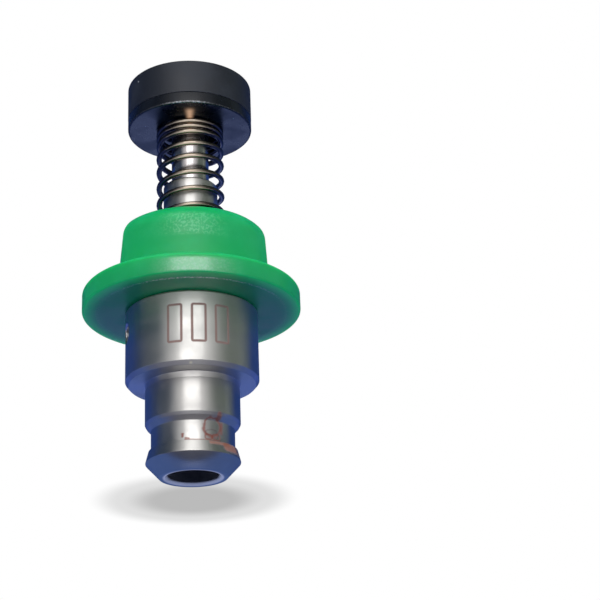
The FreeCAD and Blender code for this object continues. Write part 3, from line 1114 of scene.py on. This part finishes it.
def painted_gleam(tree, place, height, dark_radius, lit_radius, spread):
    """How much painted light an underside gets: from one radius to another, and within a spread from the front.
    """
    under = fade(tree, place["Height"], height + UNDERSIDE[0], height + UNDERSIDE[1], 1.0, 0.0)
    nearness = fade(tree, place["Radius"], dark_radius, lit_radius)
    away = turned_away(tree, place, math.degrees(CAMERA_AZIMUTH))
    nearness = calc(tree, "MULTIPLY", nearness, fade(tree, away, 0, spread, 1.0, 0.0))
    return calc(tree, "MULTIPLY", under, calc(tree, "MULTIPLY", nearness, nearness))


# %% Moulded materials
BLACK = (0, 0, 0, 1)
DUST_GREY = linear(178, 182, 190)
WORN_PATCHES = (0.42, 0.68)
WORN_DULLING = 0.1
DUST_RELIEF = 2.0
COAT_ROUGHNESS = 0.2
COAT_IOR = 1.9
GLOW_RADII = (0.3, 1.0, 0.5)
GLOW_REACH = 1.6 * MM


def make_moulded(name, colour, worn, roughness, fineness, depth, patch_size, dust, bands=(), glow=0.0,
                 mirroring=0.5, painted_light_edge=None):
    """A moulded material: faint patches, a fine grain, dust, and any bands of wear with painted highlights.

    Dust is (spacing, size, share), glow is how much light spreads inside, and a painted light edge is
    (height, dark radius, lit radius, spread, colour): emission that paints a glow or a reflection onto an
    underside.
    """
    material, tree, shader = new_material(name)
    place = place_group(tree, PLACE) if bands or painted_light_edge else None
    grain = place_group(tree, GRAIN, Fineness=fineness, Patch_Size=patch_size)
    patches = fade(tree, grain["Patches"], *WORN_PATCHES)
    specks = place_group(tree, DUST, Spacing=dust[0], Size=dust[1], Share=dust[2])["Specks"]
    rough = calc(tree, "ADD", calc(tree, "MULTIPLY", patches, WORN_DULLING), roughness)
    looks = (mix(tree, patches, colour, worn), rough, 0.0)
    for band in bands:
        looks = worn_and_painted_band(tree, place, grain, looks, band)
    tint, rough, coat = looks
    if bands:
        fill(tree, shader, {
            "Coat Weight": coat, "Coat Roughness": COAT_ROUGHNESS, "Coat IOR": COAT_IOR,
        })
    # Painted light: emission that paints a glow or a reflection onto an underside.
    if painted_light_edge:
        *where, edge_colour = painted_light_edge
        lit = mix(tree, painted_gleam(tree, place, *where), BLACK, edge_colour)
        fill(tree, shader, {"Emission Color": lit, "Emission Strength": 1.0})
    relief = calc(tree, "ADD", grain["Height"], calc(tree, "MULTIPLY", specks, DUST_RELIEF))
    fill(tree, shader, {
        "Base Color": mix(tree, specks, tint, DUST_GREY), "Roughness": rough,
        "Normal": bumped(tree, relief, depth), "Specular IOR Level": mirroring,
        "Subsurface Weight": glow, "Subsurface Radius": GLOW_RADII, "Subsurface Scale": GLOW_REACH,
    })
    return material


# %% The three moulded finishes
# The green rim is worn smoother and coated, and painted paler towards the camera: wear and a painted highlight.
rim_wear_and_highlight = dict(
    low=DRUM_TOP - 0.05, high=FLANGE_TOP - 0.55, softness=0.25, inner=7.9, outer=9.0,
    turn=-9.0, spread=28, shine=0.1, coat=1.0, colour=linear(78, 186, 136),
)
# A painted highlight on the collar's front, speckled where the grain stands up.
collar_painted_highlight = dict(
    low=16.1, high=17.9, softness=0.4, inner=4.5, outer=7.0,
    turn=-11.0, spread=28, shine=0.0, coat=0.15, colour=linear(100, 208, 150),
)
# Painted glints: a thin pale ring under the flange, towards the camera.
pale_glint_ring = dict(
    low=DRUM_TOP - 0.1, high=DRUM_TOP + 0.01, softness=0.03, inner=6.86, outer=7.06,
    turn=-8.0, spread=70, shine=0.0, coat=0.5, colour=linear(250, 255, 252),
)
# The green disc's painted light edge is a painted glow on the flange's underside, near the rim.
green_plastic = make_moulded(
    "green_plastic", linear(10, 172, 97), linear(16, 178, 104), roughness=0.34, fineness=6.0,
    depth=0.004, patch_size=0.5, dust=(1.1, 0.045, 0.25), bands=(rim_wear_and_highlight, collar_painted_highlight, pale_glint_ring),
    glow=0.7, mirroring=0.3, painted_light_edge=(DRUM_TOP, 6.2, 8.0, 900, linear(8, 92, 50)),
)

# A painted glint along the holder's lower edge, towards the camera, with a coat.
holder_rim_glint = dict(
    low=HOLDER_BOTTOM - 0.1, high=HOLDER_BOTTOM + 0.1, softness=0.04, inner=4.66, outer=9.0,
    turn=-15.0, spread=28, shine=0.0, coat=1.0, colour=linear(205, 208, 214),
)
# A painted highlight in brown, just below the holder, towards the camera.
brown_hub_glint = dict(
    low=HOLDER_BOTTOM - 3.0, high=HOLDER_BOTTOM - 0.1, softness=0.1, inner=1.9, outer=3.0,
    turn=-12.4, spread=28, shine=0.0, coat=0.4, colour=linear(150, 108, 74),
)
# The holder's painted light edge is a painted reflection of the spring's highlight in its underside, towards
# the camera.
holder_black = make_moulded(
    "black_holder", linear(10, 15, 24), linear(14, 20, 31), roughness=0.27, fineness=5.0,
    depth=0.0006, patch_size=0.6, dust=(1.3, 0.05, 0.3), bands=(holder_rim_glint, brown_hub_glint),
    mirroring=0.3, painted_light_edge=(HOLDER_BOTTOM, 4.35, 3.3, 11, linear(186, 148, 118)),
)
pad_rubber = make_moulded(
    "black_rubber", linear(19, 25, 37), linear(24, 31, 43), roughness=0.5, fineness=6.0,
    depth=0.003, patch_size=0.5, dust=(1.5, 0.05, 0.2),
)
print("moulded:", [material.name for material in (green_plastic, holder_black, pad_rubber)])

# %% [markdown]
# Each new mesh gets its material. The two cross pins are plain rods, deep in their holes, so the
# imported meshes are good enough. They keep their shape and only change to the ground steel of the
# shaft.

# %% Dressing the pieces
for piece, material, slot in (
    (steel_body, body_steel, "turned_steel"), (green_disc, green_plastic, "green_plastic"),
    (coil, wire_steel, "spring_wire"), (black_disc, holder_black, "black_holder"),
    (soft_pad, pad_rubber, "black_rubber"), (steel_shaft, shaft_steel, "polished_steel"),
):
    piece.data.materials.append(material)
for node in ("guide_pin_left", "guide_pin_right"):
    kept = frame["nodes"][node]
    kept.data.materials.clear()
    kept.data.materials.append(shaft_steel)

# %% [markdown]
# The stage is a pale floor that can only be seen from above, because the photograph's camera looks
# up from under it. Steel shows what stands round it, so cards stand or lie out of the camera's
# sight, as a photographer's would: a slate one on the left, a grey-green one on the right, and blue
# ones behind and above. The side cards fade to white towards the front, so their mirror images have
# soft edges. The cards cast no shadow, and each is only seen from one side.

# %% Card materials
def show_front_only(tree, shader, surface):
    """Makes a surface clear when it is seen from behind."""
    clear = add(tree, "ShaderNodeBsdfTransparent")
    behind = add(tree, "ShaderNodeNewGeometry").outputs["Backfacing"]
    one_sided = add(tree, "ShaderNodeMixShader", (behind, shader.outputs[0], clear.outputs[0]))
    tree.links.new(one_sided.outputs[0], surface)


def card_material(name, make_colour):
    """A plain glow whose colour is made of nodes, seen from the front only."""
    material = bpy.data.materials.new(name)
    material.use_nodes = True
    tree = material.node_tree
    tree.nodes.clear()
    glow = add(tree, "ShaderNodeEmission", {"Color": make_colour(tree), "Strength": 1.0})
    show_front_only(tree, glow, tree.nodes.new("ShaderNodeOutputMaterial").inputs["Surface"])
    return material


def plain(colour):
    return lambda tree: colour


def fading_from_white(colour, start, end):
    """White at one direction from the camera, and the colour at another."""
    def make(tree):
        turn = place_group(tree, PLACE)["Turn"]
        shift = math.degrees(CAMERA_AZIMUTH)
        return mix(tree, fade(tree, turn, start + shift, end + shift), (1, 1, 1, 1), colour)
    return make


def by_radius(stops):
    """A colour that changes outwards, from (radius, colour) stops."""
    def make(tree):
        radius = place_group(tree, PLACE)["Radius"]
        colour = stops[0][1]
        for (near, _), (far, next_colour) in zip(stops, stops[1:]):
            colour = mix(tree, fade(tree, radius, near, far), colour, next_colour)
        return colour
    return make


# %% Card shapes
def add_card(name, points, faces, material):
    mesh = bpy.data.meshes.new(name)
    mesh.from_pydata([Vector(point) * MM for point in points], [], faces)
    mesh.materials.append(material)
    card = bpy.data.objects.new(name, mesh)
    bpy.context.scene.collection.objects.link(card)
    return card


def show_card(card, mirrored, lighting):
    """Keeps a card out of sight, and chooses whether it is mirrored in things and whether it lights them."""
    card.visible_camera = False
    card.visible_shadow = False
    card.visible_transmission = False
    card.visible_glossy = mirrored
    card.visible_diffuse = lighting


def from_camera(across, away, height):
    """A place given as seen from above with the camera in front."""
    return (
        across * math.cos(CAMERA_AZIMUTH) - away * math.sin(CAMERA_AZIMUTH),
        across * math.sin(CAMERA_AZIMUTH) + away * math.cos(CAMERA_AZIMUTH),
        height,
    )


def curved_card(name, start, end, radius, low, high, material, steps=16):
    """An upright card curved round the nozzle, between two directions counted from the camera."""
    points = []
    for step in range(steps + 1):
        angle = math.radians(start + (end - start) * step / steps)
        for height in (low, high):
            points.append(from_camera(radius * math.sin(angle), -radius * math.cos(angle), height))
    faces = [(2 * i, 2 * i + 1, 2 * i + 3, 2 * i + 2) for i in range(steps)]
    show_card(add_card(name, points, faces, material), mirrored=True, lighting=False)


def flat_round(name, radius, height, material, front=None, back=None, facing_up=True, steps=64):
    """A round card lying flat. It may be cut off straight towards the camera or away from it."""
    front = radius if front is None else front
    back = radius if back is None else back
    points = []
    for j in range(steps):
        angle = 2 * math.pi * j / steps
        away = min(max(radius * math.sin(angle), -front), back)
        points.append(from_camera(radius * math.cos(angle), away, height))
    order = range(steps) if facing_up else reversed(range(steps))
    return add_card(name, points, [tuple(order)], material)


def flat_mat(name, half_width, near, far, height, material):
    """A rectangle lying flat, between two distances beyond the nozzle. Less than 0 is in front of it."""
    corners = ((-half_width, near), (half_width, near), (half_width, far), (-half_width, far))
    points = [from_camera(across, away, height) for across, away in corners]
    show_card(add_card(name, points, [(0, 1, 2, 3)], material), mirrored=True, lighting=False)


# %% Floor
FLOOR_RADIUS = 900
FLOOR_HEIGHT = -0.02

floor_material, floor_tree, floor_shader = new_material("pale_floor")
fill(floor_tree, floor_shader, {
    "Base Color": (0.82, 0.82, 0.83, 1), "Roughness": 0.9, "Specular IOR Level": 0.0,
})
show_front_only(floor_tree, floor_shader, floor_tree.nodes["Material Output"].inputs["Surface"])
flat_round("floor", FLOOR_RADIUS, FLOOR_HEIGHT, floor_material)
print("floor:", 2 * FLOOR_RADIUS, "mm across")

# %% Cards round the nozzle
SLATE = linear(63, 76, 93)
SAGE = linear(110, 121, 112)
BLUE = linear(44, 70, 132)
CARD_RADIUS = 130
CARD_FOOT = -1
CARD_TOP = 270

slate_card = card_material("slate_card", fading_from_white(SLATE, -22, -62))
sage_card = card_material("sage_card", fading_from_white(SAGE, 18, 58))
blue_card = card_material("blue_card", plain(BLUE))
strip_card = card_material("strip_card", plain(linear(170, 178, 165)))
dark_blue_card = card_material("dark_blue_card", plain(linear(40, 52, 84)))
curved_card("card_left", -112, -22, CARD_RADIUS, CARD_FOOT, CARD_TOP, slate_card)
curved_card("card_right", 18, 112, CARD_RADIUS, CARD_FOOT, CARD_TOP, sage_card)
curved_card("card_back", 112, 248, CARD_RADIUS, CARD_FOOT, CARD_TOP, blue_card)
curved_card("card_strip", 90, 94, 120, 20, 120, strip_card)
ceiling = flat_round("card_above", CARD_RADIUS, CARD_TOP, dark_blue_card, facing_up=False)
show_card(ceiling, mirrored=True, lighting=False)
print("cards stand", CARD_RADIUS, "mm away")

# %% [markdown]
# The undersides and chamfers of the nozzle show the floor. Mats that only mirror-like surfaces see
# lie on it. Round the foot they change from ring to ring, because each part of the body meets its
# own ring: the lead-in taper, the drum's underside and the neck. A bright rectangle far behind
# gives the flange its light, and one far in front gives the holder and the neck theirs. A last mat
# isn't mirrored at all, and only tints the light that comes from below.

# %% Mats on the floor
RING_STOPS = [
    (1.8, linear(6, 14, 34)), (1.86, linear(175, 190, 240)), (2.08, linear(165, 180, 235)),
    (2.25, linear(84, 110, 174)), (16, linear(84, 106, 170)), (30, linear(84, 110, 210)),
]
FRONT_STOPS = [
    (3.5, linear(60, 66, 88)), (5, linear(92, 90, 102)), (9, linear(124, 126, 146)), (15, linear(56, 66, 84)),
]
MAT_RADIUS = 129
FRONT_MAT_RADIUS = 30
MAT_HEIGHT = -0.01
TOP_MAT_HEIGHT = -0.008
LOW_MAT_HEIGHT = -0.012

back_mat = card_material("blue_mat", by_radius(RING_STOPS))
front_mat = card_material("grey_mat", by_radius(FRONT_STOPS))
glow_mat = card_material("glow_mat", plain(linear(44, 86, 140)))
bright_mat = card_material("bright_mat", plain((1.15, 1.45, 2.75, 1)))
white_mat = card_material("white_mat", plain((1.7, 1.7, 1.75, 1)))
for mat in (
    flat_round("mat_behind", MAT_RADIUS, MAT_HEIGHT, back_mat, front=3),
    flat_round("mat_in_front", FRONT_MAT_RADIUS, MAT_HEIGHT, front_mat, back=-3),
):
    show_card(mat, mirrored=True, lighting=False)
flat_mat("mat_far_behind", 14, 43, 62, TOP_MAT_HEIGHT, bright_mat)
flat_mat("mat_far_in_front", 30, -76, -16, TOP_MAT_HEIGHT, white_mat)
lighting_mat = flat_round("mat_lighting", MAT_RADIUS, LOW_MAT_HEIGHT, glow_mat)
show_card(lighting_mat, mirrored=False, lighting=True)

# %% [markdown]
# From under the floor its shadow can't be seen either, and the photograph shows one as a soft grey
# patch below the nozzle. A card that only shows from below, and only to the camera, stands for it.
# It lies a little higher than the end face, so the nozzle stands in front of it.

# %% Soft shadow
SHADOW_RADIUS = 8.4
SHADOW_FRONT = 7.5
SHADOW_HEIGHT = 1.0
SHADOW_AWAY = 9.8

shadow_grey = card_material("shadow_grey", by_radius([
    (2.8, linear(187, 187, 187)), (5.7, linear(224, 224, 224)), (8.3, (1, 1, 1, 1)),
]))
soft_shadow = flat_round(
    "soft_shadow", SHADOW_RADIUS, SHADOW_HEIGHT, shadow_grey, front=SHADOW_FRONT, facing_up=False,
)
soft_shadow.location = Vector(from_camera(0, SHADOW_AWAY, 0)) * MM
show_card(soft_shadow, mirrored=False, lighting=False)
soft_shadow.visible_camera = True

# %% [markdown]
# The light is plain and soft. A lamp low in front gives the steel its bright middle and the plastic
# its highlight, and a wide one high up shapes the pieces and their shadow on the floor. The white
# world lights everything evenly, at the level where a colour looks as it is written.

# %% Lamps and world
AIM_HEIGHT = 14


def area_lamp(name, turn, elevation, distance, width, height, radiance):
    """A rectangular lamp aimed at the nozzle's middle. Its power follows from the radiance wanted."""
    data = bpy.data.lights.new(name, "AREA")
    data.shape = "RECTANGLE"
    data.size = width * MM
    data.size_y = height * MM
    data.energy = radiance * math.pi * data.size * data.size_y
    lamp = bpy.data.objects.new(name, data)
    bpy.context.scene.collection.objects.link(lamp)
    lift = math.radians(elevation)
    side = math.radians(turn)
    level = math.cos(lift)
    away = Vector(from_camera(math.sin(side) * level, -math.cos(side) * level, math.sin(lift)))
    aim = Vector((0, 0, AIM_HEIGHT * MM))
    facing = away.to_track_quat("Z", "Y").to_matrix().to_4x4()
    lamp.matrix_world = Matrix.Translation(aim + away * distance * MM) @ facing
    lamp.visible_camera = False


area_lamp("front_lamp", turn=-0.5, elevation=13, distance=200, width=140, height=180, radiance=1.72)
area_lamp("high_lamp", turn=-20, elevation=62, distance=260, width=120, height=120, radiance=1.5)

world = bpy.data.worlds.new("white_world")
bpy.context.scene.world = world
world.use_nodes = True
sky = world.node_tree
sky.nodes.clear()
backdrop = add(sky, "ShaderNodeBackground", {"Color": (1, 1, 1, 1), "Strength": 1.0})
sky_out = sky.nodes.new("ShaderNodeOutputWorld")
sky.links.new(backdrop.outputs[0], sky_out.inputs["Surface"])
